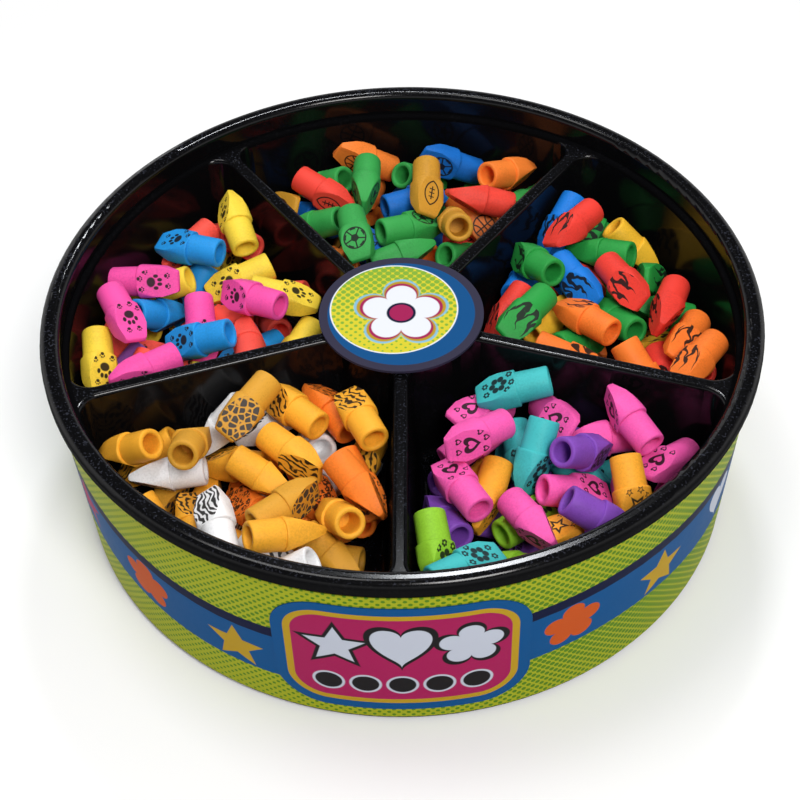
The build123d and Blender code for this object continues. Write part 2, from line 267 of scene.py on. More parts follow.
class Term:
    """A number over the surface, held as an output socket of a node tree."""

    def __init__(self, tree, socket):
        self.tree = tree
        self.socket = socket

    def math(self, operation, *others):
        node = self.tree.nodes.new("ShaderNodeMath")
        node.operation = operation
        for place, item in enumerate((self, *others)):
            if isinstance(item, Term):
                self.tree.links.new(item.socket, node.inputs[place])
            else:
                node.inputs[place].default_value = item
        return Term(self.tree, node.outputs[0])

    def __add__(self, other):
        return self.math("ADD", other)

    def __sub__(self, other):
        return self.math("SUBTRACT", other)

    def __mul__(self, other):
        return self.math("MULTIPLY", other)

    def __truediv__(self, other):
        return self.math("DIVIDE", other)

    def size(self):
        return self.math("ABSOLUTE")

    def either(self, other):
        return self.math("MAXIMUM", other)

    def both(self, other):
        return self.math("MULTIPLY", other)

    def without(self, other):
        return self.both(other.math("MULTIPLY", -1.0) + 1.0)

    def below(self, limit, soft):
        """Mask that is 1 where this is under a limit, with a soft edge."""
        node = self.tree.nodes.new("ShaderNodeMapRange")
        self.tree.links.new((self - limit).socket, node.inputs["Value"])
        node.inputs["From Min"].default_value = -soft
        node.inputs["From Max"].default_value = soft
        node.inputs["To Min"].default_value = 1.0
        node.inputs["To Max"].default_value = 0.0
        return Term(self.tree, node.outputs["Result"])


def reach(across, along):
    """Distance from the middle."""
    return (across * across + along * along).math("SQRT")


def turn_from_up(across, along):
    """Angle round the middle, from straight up, always positive."""
    return across.math("ARCTAN2", along) + 2 * math.pi


def disc(across, along, width, height, soft=0.12):
    """Round or oval spot with the given half sizes."""
    return reach(across / width, along / height).below(1.0, soft)


def heart(across, along, size, soft=0.08):
    """Heart: a circle whose height dips towards its middle line."""
    a = (across / size).size()
    b = along / size * 1.15 + 0.25
    dip = b - a.math("SQRT") * 0.9
    return (a * a + dip * dip).below(1.0, soft)


def star(across, along, size, soft=0.03):
    """Five-pointed star with straight sides."""
    inner = 0.45
    fifth = math.pi / 5
    side = math.hypot(inner * math.sin(fifth), 1 - inner * math.cos(fifth))
    fold = turn_from_up(across, along).math("PINGPONG", fifth)
    away = reach(across, along) / size
    near = away * fold.math("COSINE") * (inner * math.sin(fifth) / side)
    edge = near + away * fold.math("SINE") * ((1 - inner * math.cos(fifth)) / side)
    return edge.below(inner * math.sin(fifth) / side, soft)


def petals(across, along, size, count, hollow=0.0, soft=0.04):
    """Round petals in a ring, each with an open middle where hollow is over 0."""
    out = 0.62
    radius = 1.06 * out * math.sin(math.pi / count)
    fold = turn_from_up(across, along).math("PINGPONG", math.pi / count)
    away = reach(across, along) / size
    near = (away * away - away * fold.math("COSINE") * (2 * out) + out * out).math("SQRT")
    ring = near.below(radius, soft)
    return ring.without(near.below(hollow * radius, soft)) if hollow else ring


def blossom(across, along, size):
    """Five round petals with a closed middle, cut crisply for the large prints."""
    middle = 0.42 * size
    return petals(across, along, size, 5, soft=CRISP).either(disc(across, along, middle, middle, CRISP))


def paw(across, along, size):
    """Oval pad with four toes over it."""
    mask = disc(across, along + 0.3 * size, 0.55 * size, 0.45 * size)
    for x, y in ((-0.66, 0.22), (-0.24, 0.62), (0.24, 0.62), (0.66, 0.22)):
        mask = mask.either(disc(across - x * size, along - y * size, 0.2 * size, 0.26 * size))
    return mask


def seamed_ball(across, along, size, line):
    """Ball with crossed seams and a bowed seam at each side."""
    bow_middle = 1.35 * size
    bow_radius = 0.95 * size
    ring = (reach(across, along) - size).size().below(line, LINE_SOFT)
    seams = across.size().below(line, LINE_SOFT).either(along.size().below(line, LINE_SOFT))
    bow = reach(across.size() - bow_middle, along) - bow_radius
    seams = seams.either(bow.size().below(line, LINE_SOFT))
    return ring.either(seams.both(disc(across, along, size, size, EDGE_SOFT)))


def panelled_ball(across, along, size, line):
    """Ball with a dark five-sided patch, spokes from its corners and dark panels at the rim."""
    patch_size = 0.34 * size
    panel_start = 0.8 * size
    panel_turn = 0.3
    away = reach(across, along)
    fold = turn_from_up(across, along).math("PINGPONG", math.pi / 5)
    rim_fold = fold * -1.0 + math.pi / 5
    patch = (away * rim_fold.math("COSINE")).below(patch_size, LINE_SOFT)
    inside = away.below(size, EDGE_SOFT)
    spoke = (away * fold.math("SINE")).below(line, LINE_SOFT).both(inside)
    panel = inside.without(away.below(panel_start, EDGE_SOFT)).both(rim_fold.below(panel_turn, EDGE_SOFT))
    ring = (away - size).size().below(line, LINE_SOFT)
    return ring.either(patch).either(spoke).either(panel)


def laced_ball(across, along, size, line):
    """Pointed ball, drawn by two bows, with a lace down its middle."""
    bow_middle = 0.55 * size
    bow_radius = 1.25 * size
    lace_half = 0.62 * size
    stitch_half = 0.28 * size
    stitch_pitch = 0.18 * size
    stitch_line = 0.05 * size
    stitches_half = 0.58 * size
    bow = reach(across.size() + bow_middle, along) - bow_radius
    ring = bow.size().below(line, LINE_SOFT)
    lace = across.size().below(line, 0.06).both(along.size().below(lace_half, LINE_SOFT))
    rung = along.math("PINGPONG", stitch_pitch).below(stitch_line, EDGE_SOFT)
    stitches = rung.both(across.size().below(stitch_half, 0.06))
    stitches = stitches.both(along.size().below(stitches_half, 0.06))
    return ring.either(lace).either(stitches)


def noise(tree, vector, scale, detail=2.0):
    node = tree.nodes.new("ShaderNodeTexNoise")
    node.inputs["Scale"].default_value = scale
    node.inputs["Detail"].default_value = detail
    tree.links.new(vector, node.inputs["Vector"])
    return Term(tree, node.outputs["Fac"])


def vector(tree, x, y, z=None):
    node = tree.nodes.new("ShaderNodeCombineXYZ")
    for place, item in enumerate((x, y, z)):
        if item is not None:
            tree.links.new(item.socket, node.inputs[place])
    return node.outputs[0]


def voronoi(tree, position, scale, feature):
    node = tree.nodes.new("ShaderNodeTexVoronoi")
    node.feature = feature
    node.inputs["Scale"].default_value = scale
    tree.links.new(position, node.inputs["Vector"])
    return Term(tree, node.outputs["Distance"])


def stripes(tree, x, y, chance, step, share, swell):
    """Slanting wandering lines that swell, thin out and fork."""
    place = vector(tree, x, y, chance * 30.0)
    wander = noise(tree, place, 0.2, 1.0) * 8.0
    wave = ((x + y * 0.35 + wander) * (2 * math.pi / step)).math("SINE")
    uneven = (noise(tree, place, 0.55, 0.0) - 0.5) * swell
    return (wave * -1.0 + uneven).below(share, 0.2)


def zebra(tree, x, y, chance):
    return stripes(tree, x, y, chance, step=2.0, share=0.05, swell=2.0)


def tiger(tree, x, y, chance):
    return stripes(tree, x, y, chance, step=2.4, share=-0.3, swell=3.4)


def giraffe(tree, x, y, chance):
    """Rounded patches with gaps between them."""
    scale = 0.4
    place = vector(tree, x, y, chance * 40.0)
    gap = voronoi(tree, place, scale, "DISTANCE_TO_EDGE")
    return (gap * -1.0).below(-0.09, 0.03).both(voronoi(tree, place, scale, "F1").below(0.62, 0.05))


def leopard(tree, x, y, chance):
    """Broken rings."""
    ring_radius = 0.36
    ring_half = 0.14
    place = vector(tree, x, y, chance * 40.0)
    away = voronoi(tree, place, 0.5, "F1")
    broken = (noise(tree, place, 1.1) - 0.5) * 0.9
    return (away + broken - ring_radius).size().below(ring_half, 0.04)


def scattered(x, y, shape):
    """One large figure on the face with small ones round it."""
    mask = shape(x, y - FACE_MIDDLE, LARGE_FIGURE)
    for a, b in SMALL_PLACES:
        mask = mask.either(shape(x - a, y - b, SMALL_FIGURE))
    return mask


def outlined_heart(a, b, size):
    return heart(a, b, size).without(heart(a, b, size * 0.5))


def outlined_star(a, b, size):
    return star(a, b, size * 1.3).without(star(a, b, size * 0.7))


def daisy(a, b, size):
    return petals(a, b, size * 1.25, 6)


def four_petals(a, b, size):
    turned = math.sqrt(0.5)
    return petals(a * turned + b * turned, b * turned - a * turned, size * 1.3, 4, 0.4)


def small_paw(a, b, size):
    return paw(a, b, size * 1.15)


def strewn(shape):
    def drawn(tree, x, y, chance):
        return scattered(x, y, shape)

    return drawn


def one_ball(shape):
    def drawn(tree, x, y, chance):
        return shape(x, y - FACE_MIDDLE, BALL_SIZE, BALL_LINE)

    return drawn


def flames(tree, x, y, chance):
    """Outlined tongues that lick up from the shoulder."""
    half_pitch = 2.3
    lick = (noise(tree, vector(tree, x, y, chance * 25.0), 0.22, 1.0) - 0.5) * 7.0
    tongue = (x + lick + chance * 9.0).math("PINGPONG", half_pitch) / half_pitch
    tall = tongue * tongue
    outer = y.below(tall * 9.0 + 2.6, 0.15)
    inner = y.below(tall * 6.0 - 0.4, 0.15)
    return outer.without(inner)


PRINTS = {
    "Giraffe patches": giraffe,
    "Zebra stripes": zebra,
    "Tiger stripes": tiger,
    "Leopard spots": leopard,
    "Hearts": strewn(outlined_heart),
    "Four petals": strewn(four_petals),
    "Daisies": strewn(daisy),
    "Stars": strewn(outlined_star),
    "Flames": flames,
    "Panelled ball": one_ball(panelled_ball),
    "Seamed ball": one_ball(seamed_ball),
    "Laced ball": one_ball(laced_ball),
    "Paws": strewn(small_paw),
}


def new_group(name, inputs, output):
    """Shader node group with number inputs (name, default) and one number output."""
    tree = bpy.data.node_groups.new(name, "ShaderNodeTree")
    for label, default in inputs:
        socket = tree.interface.new_socket(label, in_out="INPUT", socket_type="NodeSocketFloat")
        socket.default_value = default
    tree.interface.new_socket(output, in_out="OUTPUT", socket_type="NodeSocketFloat")
    source = tree.nodes.new("NodeGroupInput")
    target = tree.nodes.new("NodeGroupOutput")
    terms = [Term(tree, source.outputs[label]) for label, default in inputs]
    return tree, terms, target


def print_group(name, draw):
    """Print on a topper's flat face: millimetres across it and up from the shoulder give the ink's mask."""
    inputs = (("Across", 0.0), ("Along", 0.0), ("Chance", 0.0))
    tree, (across, along, chance), target = new_group(name, inputs, "Ink")
    ink = draw(tree, across, along, chance)
    on_face = (along * -1.0).below(-FACE_START, 0.1).both(across.size().below(FACE_REACH, 0.1))
    tree.links.new(ink.both(on_face).socket, target.inputs[0])
    return tree


def halftone_group():
    """Dots on a staggered grid, with a radius that the material sets from place to place."""
    inputs = (("Across", 0.0), ("Along", 0.0), ("Pitch", 3.0), ("Dot", 1.0))
    tree, (across, along, pitch, dot), target = new_group("Halftone dots", inputs, "Dots")
    mask = None
    for shift in (0.0, 0.5):
        x = (across / pitch + shift).math("FRACT") - 0.5
        y = (along / pitch + shift).math("FRACT") - 0.5
        spot = (reach(x, y) * pitch).below(dot, 0.12)
        mask = mask.either(spot) if mask else spot
    tree.links.new(mask.socket, target.inputs[0])
    return tree


def grain_group():
    """Soft cloudy change over a surface in object space, for handling marks and dust."""
    inputs = (("Coarse", 60.0), ("Fine", 900.0), ("Share", 0.4))
    tree, (coarse, fine, share), target = new_group("Handling marks", inputs, "Marks")
    place = tree.nodes.new("ShaderNodeTexCoord").outputs["Object"]
    fields = []
    for scale in (coarse, fine):
        node = tree.nodes.new("ShaderNodeTexNoise")
        node.inputs["Detail"].default_value = 3.0
        tree.links.new(place, node.inputs["Vector"])
        tree.links.new(scale.socket, node.inputs["Scale"])
        fields.append(Term(tree, node.outputs["Fac"]))
    mixed = fields[0] + (fields[1] - fields[0]) * share
    tree.links.new(mixed.socket, target.inputs[0])
    return tree


def place_group(tree, group, **values):
    node = tree.nodes.new("ShaderNodeGroup")
    node.node_tree = group
    for label, item in values.items():
        if isinstance(item, Term):
            tree.links.new(item.socket, node.inputs[label])
        else:
            node.inputs[label].default_value = item
    return Term(tree, node.outputs[0])


def colour_mix(tree, mask, under, over):
    """Colour socket: over where the mask is 1, under elsewhere."""
    node = tree.nodes.new("ShaderNodeMix")
    node.data_type = "RGBA"
    tree.links.new(mask.socket, node.inputs["Factor"])
    for label, item in (("A", under), ("B", over)):
        socket = next(s for s in node.inputs if s.name == label and s.type == "RGBA")
        if isinstance(item, tuple):
            socket.default_value = (*item, 1.0)
        else:
            tree.links.new(item, socket)
    return next(s for s in node.outputs if s.type == "RGBA")


def new_material(name, roughness, specular):
    material = bpy.data.materials.new(name)
    material.use_nodes = True
    tree = material.node_tree
    shader = tree.nodes["Principled BSDF"]
    shader.inputs["Roughness"].default_value = roughness
    shader.inputs["Specular IOR Level"].default_value = specular
    shader.inputs["Coat Roughness"].default_value = COAT_ROUGHNESS
    return material, tree, shader


def bump(tree, shader, height, strength, distance):
    node = tree.nodes.new("ShaderNodeBump")
    node.inputs["Strength"].default_value = strength
    node.inputs["Distance"].default_value = distance
    tree.links.new(height.socket, node.inputs["Height"])
    tree.links.new(node.outputs["Normal"], shader.inputs["Normal"])


def object_place(tree):
    """Object coordinates in millimetres."""
    node = tree.nodes.new("ShaderNodeSeparateXYZ")
    tree.links.new(tree.nodes.new("ShaderNodeTexCoord").outputs["Object"], node.inputs[0])
    return [Term(tree, socket) * (1 / MM) for socket in node.outputs]


def shifted(colour, factor):
    return tuple(min(channel * factor, 1.0) for channel in colour)


def cap_material(name, colour, print_tree, ink):
    """Matte eraser rubber with a pad-printed figure on its flat faces."""
    material, tree, shader = new_material(name, roughness=0.5, specular=0.22)
    uv = tree.nodes.new("ShaderNodeUVMap")
    uv.uv_map = "face_print"
    split = tree.nodes.new("ShaderNodeSeparateXYZ")
    tree.links.new(uv.outputs[0], split.inputs[0])
    chance = tree.nodes.new("ShaderNodeAttribute")
    chance.attribute_name = "chance"
    across = Term(tree, split.outputs[0])
    along = Term(tree, split.outputs[1])
    own_chance = Term(tree, chance.outputs["Fac"])
    drawn = place_group(tree, print_tree, Across=across, Along=along, Chance=own_chance)
    marks = place_group(tree, HANDLING, Coarse=70.0, Fine=1400.0, Share=0.45)
    worn = marks.below(WORN_UNDER, 0.12)
    rubber = colour_mix(tree, worn, shifted(colour, FRESH), shifted(colour, GRIMY))
    faded = drawn.both(marks.below(RUBBED_OVER, 0.04) * INK_STRENGTH)
    tree.links.new(colour_mix(tree, faded, rubber, ink), shader.inputs["Base Color"])
    tree.links.new((marks * 0.3 + 0.38).socket, shader.inputs["Roughness"])
    bump(tree, shader, marks, strength=0.25, distance=0.0002)
    return material


def tray_shine(x, y, z, ledge):
    """Coat weight over the tray: polished but for its outer edge, its ledge and a worn crest at the front."""
    shine = reach(x, y).below(POLISH_RADIUS, 0.3) * (POLISH - DULL) + DULL
    crest = x.size().below(CREST_HALF, 0.5).both(y.below(CREST_START, 2.0))
    crest = crest.both((z - LEDGE_HEIGHT).size().below(CREST_HALF_HEIGHT, 0.3))
    return shine.without(ledge).without(crest * CREST_WEAR)


def black_plastic(name, colour, roughness, specular, polished=False):
    """Black plastic with faint scuffs, and specks on what faces up that are partly dust and partly painted
    speckled highlights.
    """
    material, tree, shader = new_material(name, roughness, specular)
    marks = place_group(tree, HANDLING, Coarse=40.0, Fine=900.0, Share=0.6)
    scuffed = marks.below(SCUFFED_UNDER, 0.08)
    body = colour_mix(tree, scuffed, colour, shifted(colour, SCUFF_GAIN))
    place = tree.nodes.new("ShaderNodeTexCoord")
    facing = tree.nodes.new("ShaderNodeSeparateXYZ")
    tree.links.new(place.outputs["Normal"], facing.inputs[0])
    upward = (Term(tree, facing.outputs["Z"]) * -1.0).below(-SPECKS_UPWARD, 0.15)
    # Specks on upward faces: partly dust, partly painted speckled highlights of the lamps on the plastic's
    # fine texture
    specks = noise(tree, place.outputs["Object"], SPECK_SCALE, 1.0) + (marks - 0.5) * 0.6
    specks = (specks * -1.0).below(-SPECKS_OVER, 0.06).both(upward)
    tree.links.new((marks * 0.12 + (roughness - 0.06)).socket, shader.inputs["Roughness"])
    bump(tree, shader, marks, strength=0.12, distance=0.0003)
    if polished:
        x, y, z = object_place(tree)
        ledge = (reach(x, y) - LEDGE_RADIUS).size().below(LEDGE_HALF_WIDTH, 0.2)
        ledge = ledge.both((z - LEDGE_HEIGHT).size().below(LEDGE_HALF_HEIGHT, 0.3))
        specks = specks.without(ledge)
        tree.links.new(tray_shine(x, y, z, ledge).socket, shader.inputs["Coat Weight"])
    # The specks' pale bluish colour goes into the base colour as dust and as painted speckled highlights
    tree.links.new(colour_mix(tree, specks, body, DUST_AND_GLINTS), shader.inputs["Base Color"])
    return material


def wrap_material():
    """Lime film with green dots, a waved blue band under a dark rule, and plain figures along it."""
    material, tree, shader = new_material("wrap_film", roughness=0.45, specular=0.03)
    x, y, z = object_place(tree)
    turned = x.math("ARCTAN2", y * -1.0)
    round_it = turned * LABEL_RADIUS
    wave = (turned * WAVES_ROUND - WAVE_START).math("SINE") * WAVE_RISE
    height = z - wave
    swell = (turned * 2.0).math("SINE") * DOT_SWELL
    grown = ((z - LABEL_MIDDLE).size() * -1.0 + LABEL_HALF) / LABEL_HALF
    dot = grown * DOT_GROWTH + swell + DOT_LEAST
    pitch = 2 * math.pi * LABEL_RADIUS / DOTS_ROUND
    dots = place_group(tree, HALFTONE, Across=round_it, Along=z, Pitch=pitch, Dot=dot)
    colour = colour_mix(tree, dots, LIME, LEAF)
    band = (height - BAND_HEIGHT).size().below(BAND_HALF, 0.1)
    colour = colour_mix(tree, band, colour, SKY)
    rule = (height - RULE_HEIGHT).size().below(RULE_HALF, 0.1)
    colour = colour_mix(tree, rule, colour, NAVY)
    group = 2 * math.pi * LABEL_RADIUS / FIGURE_GROUPS
    for share, paint, shape, lift in (
        (0.125, MAGENTA, lambda a, b: star(a, b, 11.0, CRISP), 38.0),
        (0.375, FLAME, lambda a, b: blossom(a, b, 10.4), 35.0),
        (0.625, SUN, lambda a, b: star(a, b, 11.0, CRISP), 33.0),
        (0.875, PAPER, lambda a, b: heart(a, b, 8.4, 2 * CRISP), 36.0),
    ):
        local = ((round_it / group + (0.5 - share)).math("FRACT") - 0.5) * group
        colour = colour_mix(tree, shape(local, height - lift), colour, paint)
    tree.links.new(colour, shader.inputs["Base Color"])
    marks = place_group(tree, HANDLING, Coarse=30.0, Fine=500.0, Share=0.4)
    tree.links.new((marks * 0.2 + 0.35).socket, shader.inputs["Roughness"])
    return material


def badge_material(box):
    """Magenta badge inside a yellow and a blue border: outlined white figures over a row of black spots."""
    material, tree, shader = new_material("badge_film", roughness=0.42, specular=0.03)
    x, y, z = object_place(tree)
    low, high = box
    half_width = (high.x - low.x) / 2 / MM
    half_height = (high.z - low.z) / 2 / MM
    up = z - (high.z + low.z) / 2 / MM
    out_x = (x.size() - (half_width - BADGE_CORNER)).either(0.0)
    out_z = (up.size() - (half_height - BADGE_CORNER)).either(0.0)
    inset = reach(out_x, out_z) * -1.0 + BADGE_CORNER
    colour = colour_mix(tree, inset.below(BADGE_YELLOW, 0.12), MAGENTA, SUN)
    colour = colour_mix(tree, inset.below(BADGE_BLUE, 0.12), colour, SKY)
    for shift, shape in (
        (-21.6, lambda a, b, grow: star(a, b, 10.6 + 1.7 * grow, CRISP)),
        (0.0, lambda a, b, grow: heart(a, b, 10.0 + grow, 2 * CRISP)),
        (22.5, lambda a, b, grow: blossom(a, b, 10.6 + grow)),
    ):
        for grow, paint in ((BADGE_OUTLINE, BLACK), (0.0, PAPER)):
            colour = colour_mix(tree, shape(x - shift, up - BADGE_FIGURES_UP, grow), colour, paint)
    spots = ((x / SPOT_PITCH + 0.5).math("FRACT") - 0.5) * SPOT_PITCH
    row = x.size().below(SPOT_ROW, 0.1)
    for radius, paint in ((SPOT_RIM, PAPER), (SPOT_RADIUS, BLACK)):
        spot = disc(spots, up + SPOTS_DOWN, radius, radius, 0.04).both(row)
        colour = colour_mix(tree, spot, colour, paint)
    tree.links.new(colour, shader.inputs["Base Color"])
    marks = place_group(tree, HANDLING, Coarse=30.0, Fine=500.0, Share=0.4)
    tree.links.new((marks * 0.2 + 0.32).socket, shader.inputs["Roughness"])
    return material


def hub_material():
    """Card disc: dark border, a blue crescent and a dotted yellow field with a plain outlined flower."""
    material, tree, shader = new_material("hub_card", roughness=0.6, specular=0.1)
    x, y, z = object_place(tree)
    away = reach(x, y)
    inner = reach(x - HUB_SHIFT[0], y - HUB_SHIFT[1])
    dot = (y - HUB_DOT_START) * HUB_DOT_GROWTH + HUB_DOT_LEAST
    dots = place_group(tree, HALFTONE, Across=x, Along=y, Pitch=HUB_DOT_PITCH, Dot=dot)
    field = colour_mix(tree, dots, LEMON, GRASS)
    for size, paint in ((17.4, ICE), (16.4, SUN), (15.2, MAGENTA), (14.0, CARD)):
        field = colour_mix(tree, petals(x, y, size, 5, soft=CRISP), field, paint)
    field = colour_mix(tree, disc(x, y, FLOWER_EYE_RIM, FLOWER_EYE_RIM, 0.04), field, NAVY)
    field = colour_mix(tree, disc(x, y, FLOWER_EYE, FLOWER_EYE, 0.04), field, MAGENTA)
    colour = colour_mix(tree, inner.below(HUB_FIELD, 0.12), CARD, field)
    colour = colour_mix(tree, inner.below(HUB_RING, 0.12), SKY, colour)
    colour = colour_mix(tree, away.below(HUB_BORDER, 0.12), NIGHT, colour)
    tree.links.new(colour, shader.inputs["Base Color"])
    marks = place_group(tree, HANDLING, Coarse=50.0, Fine=700.0, Share=0.4)
    tree.links.new((marks * 0.2 + 0.5).socket, shader.inputs["Roughness"])
    return material


def head_ring(share, inset, z):
    """Ring round the head at a share of its length: a rounded block cut by slanted faces and cheeks."""
    thick = (HEAD_THICKNESS + (TIP_THICKNESS - HEAD_THICKNESS) * share) / 2 - inset
    if share <= CHEEK_SHARE:
        wide = (HEAD_WIDTH + (CHEEK_WIDTH - HEAD_WIDTH) * share / CHEEK_SHARE) / 2 - inset
    else:
        past = (share - CHEEK_SHARE) / (1 - CHEEK_SHARE)
        wide = (CHEEK_WIDTH + (TIP_WIDTH - CHEEK_WIDTH) * past) / 2 - inset
    corner = HEAD_CORNER - inset
    middle = Vector((HEAD_WIDTH / 2 - HEAD_CORNER, HEAD_THICKNESS / 2 - HEAD_CORNER))
    rise = math.sqrt(max(corner**2 - max(wide - middle.x, 0) ** 2, 0))
    run = math.sqrt(max(corner**2 - max(thick - middle.y, 0) ** 2, 0))
    low = Vector((wide, min(middle.y + rise, thick - SOFT_EDGE)))
    high = Vector((min(middle.x + run, wide - SOFT_EDGE), thick))
    quarter = [Vector((wide, 0))]
    for step in range(ARC_POINTS):
        point = low.lerp(high, step / (ARC_POINTS - 1))
        away = point - middle
        if away.length and min(away) > 0:
            reached = middle + away * max(corner / away.length, 1)
            point = Vector((min(reached.x, wide), min(reached.y, thick)))
        quarter.append(point)
    quarter.append(Vector((max(high.x - SOFT_EDGE, 0), thick)))
    quarter.append(Vector((0, thick)))
    right = quarter[:-1]
    left = [Vector((-point.x, point.y)) for point in reversed(quarter[1:])]
    ring = right + left
    ring += [-point for point in ring]
    return [(point.x * MM, point.y * MM, z * MM) for point in ring]


def topper_mesh():
    """One cap along +Z from its mouth: lipped sleeve with a blind bore, chisel head and print map."""
    turns = [2 * math.pi / RING_POINTS * i for i in range(RING_POINTS)]
    circle = [(math.cos(turn), math.sin(turn)) for turn in turns]
    rings = [[(radius * MM * x, radius * MM * y, z * MM) for x, y in circle] for radius, z in SLEEVE_RINGS]
    rings.append(head_ring(0.0, SHOULDER_INSET, SHOULDER))
    for share in HEAD_SHARES:
        rings.append(head_ring(share, 0.0, SHOULDER + (TOPPER_LENGTH - SHOULDER) * share))
    rings.append(head_ring(1.0, TIP_INSET, TOPPER_LENGTH))
    points = [point for ring in rings for point in ring]
    faces = [tuple(reversed(range(RING_POINTS)))]
    flat_columns = [ARC_POINTS + k for k in range(4)]
    flat_columns += [column + RING_POINTS // 2 for column in flat_columns]
    printed = [False]
    for row in range(len(rings) - 1):
        for i in range(RING_POINTS):
            a = row * RING_POINTS + i
            b = row * RING_POINTS + (i + 1) % RING_POINTS
            faces.append((a, b, b + RING_POINTS, a + RING_POINTS))
            printed.append(row > len(SLEEVE_RINGS) and row < len(rings) - 2 and i in flat_columns)
    last = (len(rings) - 1) * RING_POINTS
    faces.append(tuple(range(last, last + RING_POINTS)))
    printed.append(False)
    mesh = bpy.data.meshes.new("topper_pattern")
    mesh.from_pydata(points, [], faces)
    mesh.update()
    layer = mesh.uv_layers.new(name="face_print")
    for face in mesh.polygons:
        for corner in face.loop_indices:
            place = mesh.vertices[mesh.loops[corner].vertex_index].co
            flat = (place.x / MM, place.z / MM - SHOULDER)
            layer.data[corner].uv = flat if printed[face.index] else UNPRINTED
    mesh.polygons.foreach_set("use_smooth", [True] * len(mesh.polygons))
    mesh.set_sharp_from_angle(angle=math.radians(SHARP_ANGLE))
    return mesh


def topper_places(node):
    """Mouth and turn of every topper in a CAD node, worked out from the moments of its closed parts."""
    mesh = node.data
    mesh.calc_loop_triangles()
    points = np.empty(len(mesh.vertices) * 3)
    mesh.vertices.foreach_get("co", points)
    points = points.reshape(-1, 3)
    corners = np.empty(len(mesh.loop_triangles) * 3, dtype=np.int32)
    mesh.loop_triangles.foreach_get("vertices", corners)
    unique, merged = np.unique(np.round(points * 1e6).astype(np.int64), axis=0, return_inverse=True)
    triangles = merged.reshape(-1)[corners].reshape(-1, 3)
    points = unique / 1e6
    part = np.arange(len(points))
    while True:
        lowest = part[triangles].min(axis=1)
        before = part.copy()
        for column in range(3):
            np.minimum.at(part, triangles[:, column], lowest)
        if np.array_equal(before, part):
            break
    places = []
    for label in np.unique(part[triangles[:, 0]]):
        own = points[triangles[part[triangles[:, 0]] == label]]
        start = own.reshape(-1, 3).mean(axis=0)
        a, b, c = (own[:, k] - start for k in range(3))
        volume = np.einsum("ij,ij->i", a, np.cross(b, c)) / 6
        total = volume.sum()
        centre = ((a + b + c) / 4 * volume[:, None]).sum(axis=0) / total
        spread = np.zeros((3, 3))
        for first in (a, b, c):
            spread += np.einsum("i,ij,ik->jk", volume, first, first)
        whole = a + b + c
        spread += np.einsum("i,ij,ik->jk", volume, whole, whole)
        spread = spread / 20 / total - np.outer(centre, centre)
        axes = np.linalg.eigh(spread)[1]
        long, wide = axes[:, 2], axes[:, 1]
        along = (own.reshape(-1, 3) - start - centre) @ long
        if -along.min() > along.max():
            long, along = -long, -along
        mouth = start + centre + long * along.min()
        thin = np.cross(long, wide)
        turn = Matrix((wide, thin, long)).transposed().to_euler()
        places.append((Vector(mouth), turn))
    places.sort(key=lambda place: tuple(place[0]))
    return places


def heap_tree():
    """Geometry nodes: a topper at every point, turned as the point says, as one mesh of one material."""
    tree = bpy.data.node_groups.new("Heaped toppers", "GeometryNodeTree")
    tree.interface.new_socket("Places", in_out="INPUT", socket_type="NodeSocketGeometry")
    tree.interface.new_socket("Topper", in_out="INPUT", socket_type="NodeSocketObject")
    tree.interface.new_socket("Rubber", in_out="INPUT", socket_type="NodeSocketMaterial")
    tree.interface.new_socket("Topper size", in_out="INPUT", socket_type="NodeSocketFloat")
    tree.interface.new_socket("Heap", in_out="OUTPUT", socket_type="NodeSocketGeometry")
    source = tree.nodes.new("NodeGroupInput")
    target = tree.nodes.new("NodeGroupOutput")
    pattern = tree.nodes.new("GeometryNodeObjectInfo")
    turn = tree.nodes.new("GeometryNodeInputNamedAttribute")
    turn.data_type = "FLOAT_VECTOR"
    turn.inputs["Name"].default_value = "turn"
    rotation = tree.nodes.new("FunctionNodeEulerToRotation")
    scatter = tree.nodes.new("GeometryNodeInstanceOnPoints")
    realize = tree.nodes.new("GeometryNodeRealizeInstances")
    paint = tree.nodes.new("GeometryNodeSetMaterial")
    link = tree.links.new
    link(source.outputs["Places"], scatter.inputs["Points"])
    link(source.outputs["Topper"], pattern.inputs["Object"])
    link(pattern.outputs["Geometry"], scatter.inputs["Instance"])
    link(turn.outputs["Attribute"], rotation.inputs[0])
    link(rotation.outputs[0], scatter.inputs["Rotation"])
    link(source.outputs["Topper size"], scatter.inputs["Scale"])
    link(scatter.outputs["Instances"], realize.inputs["Geometry"])
    link(realize.outputs["Geometry"], paint.inputs["Geometry"])
    link(source.outputs["Rubber"], paint.inputs["Material"])
    link(paint.outputs["Geometry"], target.inputs["Heap"])
    return tree


def heap_piece(name, places, tree, pattern, material, chance):
    """One mesh of all the toppers of a node."""
    points = bpy.data.meshes.new(name + "_places")
    points.from_pydata([tuple(mouth) for mouth, turn in places], [], [])
    points.attributes.new("turn", "FLOAT_VECTOR", "POINT")
    points.attributes.new("chance", "FLOAT", "POINT")
    for index, (mouth, turn) in enumerate(places):
        points.attributes["turn"].data[index].vector = tuple(turn)
        points.attributes["chance"].data[index].value = chance.random()
    holder = bpy.data.objects.new(name + "_places", points)
    bpy.context.scene.collection.objects.link(holder)
    modifier = holder.modifiers.new("Heap", "NODES")
    modifier.node_group = tree
    sockets = {item.name: item.identifier for item in tree.interface.items_tree if item.in_out == "INPUT"}
    modifier[sockets["Topper"]] = pattern
    modifier[sockets["Rubber"]] = material
    modifier[sockets["Topper size"]] = 1.0
    bpy.context.view_layer.update()
    graph = bpy.context.evaluated_depsgraph_get()
    mesh = bpy.data.meshes.new_from_object(holder.evaluated_get(graph))
    holder.modifiers.clear()
    bpy.data.objects.remove(holder)
    mesh.name = name
    mesh.materials.clear()
    mesh.materials.append(material)
    mesh.polygons.foreach_set("material_index", [0] * len(mesh.polygons))
    piece = bpy.data.objects.new(name, mesh)
    bpy.context.scene.collection.objects.link(piece)
    return piece


